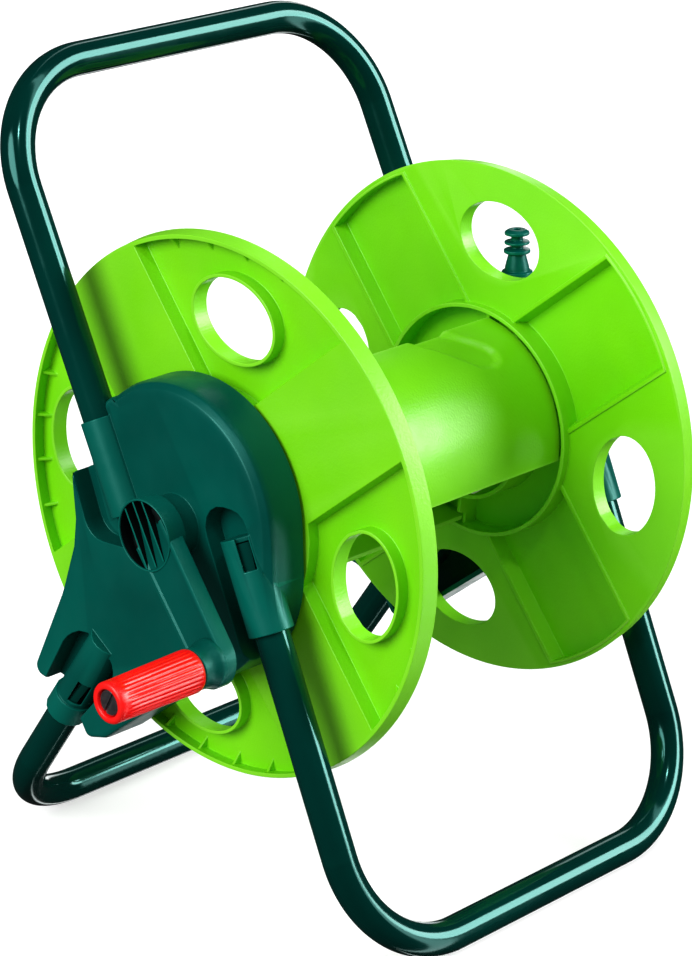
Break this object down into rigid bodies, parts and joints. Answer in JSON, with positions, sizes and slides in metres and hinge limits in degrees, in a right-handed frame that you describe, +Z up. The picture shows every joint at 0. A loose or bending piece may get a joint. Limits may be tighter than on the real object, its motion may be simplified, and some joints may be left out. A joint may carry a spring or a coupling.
{
  "type": "garden hose reel",
  "caption": "Portable garden hose reel: flanged drum with a side crank and grip, turning on moulded side plates joined by bent tube feet and a carrying handle.",
  "frame": {"origin": "on the floor, under the middle of the bounding box", "axes": "+Z up; X along the axle, with the crank and grip at -X and the water inlet at +X; +Y to the rear, where the handle leans"},
  "size_m": [0.392, 0.3278, 0.4605],
  "materials": {
    "enamelled_tube": "gloss enamel",
    "teal_plastic": "satin, fine moulded texture",
    "lime_plastic": "satin moulded",
    "zinc_steel": "zinc plated",
    "white_acetal": "smooth",
    "seal_rubber": "matt",
    "red_plastic": "semi-gloss, fluted"
  },
  "bodies": {
    "frame": {"handle_tube": "enamelled_tube", "front_foot_tube": "enamelled_tube", "rear_foot_tube": "enamelled_tube", "side_plate_crank": "teal_plastic", "side_plate_inlet": "teal_plastic", "tube_screw_inlet_1": "zinc_steel", "tube_screw_inlet_2": "zinc_steel", "tube_screw_inlet_3": "zinc_steel", "tube_screw_crank_1": "zinc_steel", "tube_screw_crank_2": "zinc_steel", "tube_screw_crank_3": "zinc_steel", "crank_bushing": "white_acetal", "inlet_bushing": "white_acetal", "inlet_elbow": "teal_plastic", "inlet_nozzle": "teal_plastic"},
    "reel": {"flange_inlet": "lime_plastic", "flange_crank": "lime_plastic", "drum_shell_front": "lime_plastic", "drum_shell_rear": "lime_plastic", "drum_screw_inlet_1": "zinc_steel", "drum_screw_inlet_2": "zinc_steel", "drum_screw_inlet_3": "zinc_steel", "drum_screw_inlet_4": "zinc_steel", "drum_screw_crank_1": "zinc_steel", "drum_screw_crank_2": "zinc_steel", "drum_screw_crank_3": "zinc_steel", "drum_screw_crank_4": "zinc_steel", "crank_arm": "teal_plastic", "crank_screw": "zinc_steel", "crank_washer": "zinc_steel", "grip_pin": "zinc_steel", "water_spindle": "white_acetal", "spindle_seal_1": "seal_rubber", "spindle_seal_2": "seal_rubber", "hose_elbow": "white_acetal", "hose_collar": "white_acetal"},
    "grip": {"crank_grip": "red_plastic"}
  },
  "joints": [
    {"name": "reel_spin", "type": "hinge", "parent": "frame", "child": "reel", "pos_m": [0.04798, -0.01257, 0.22998], "axis": [1, 0, 0], "continuous": true},
    {"name": "grip_spin", "type": "hinge", "parent": "reel", "child": "grip", "pos_m": [-0.16701, -0.07047, 0.17668], "axis": [1, 0, 0], "continuous": true}
  ]
}
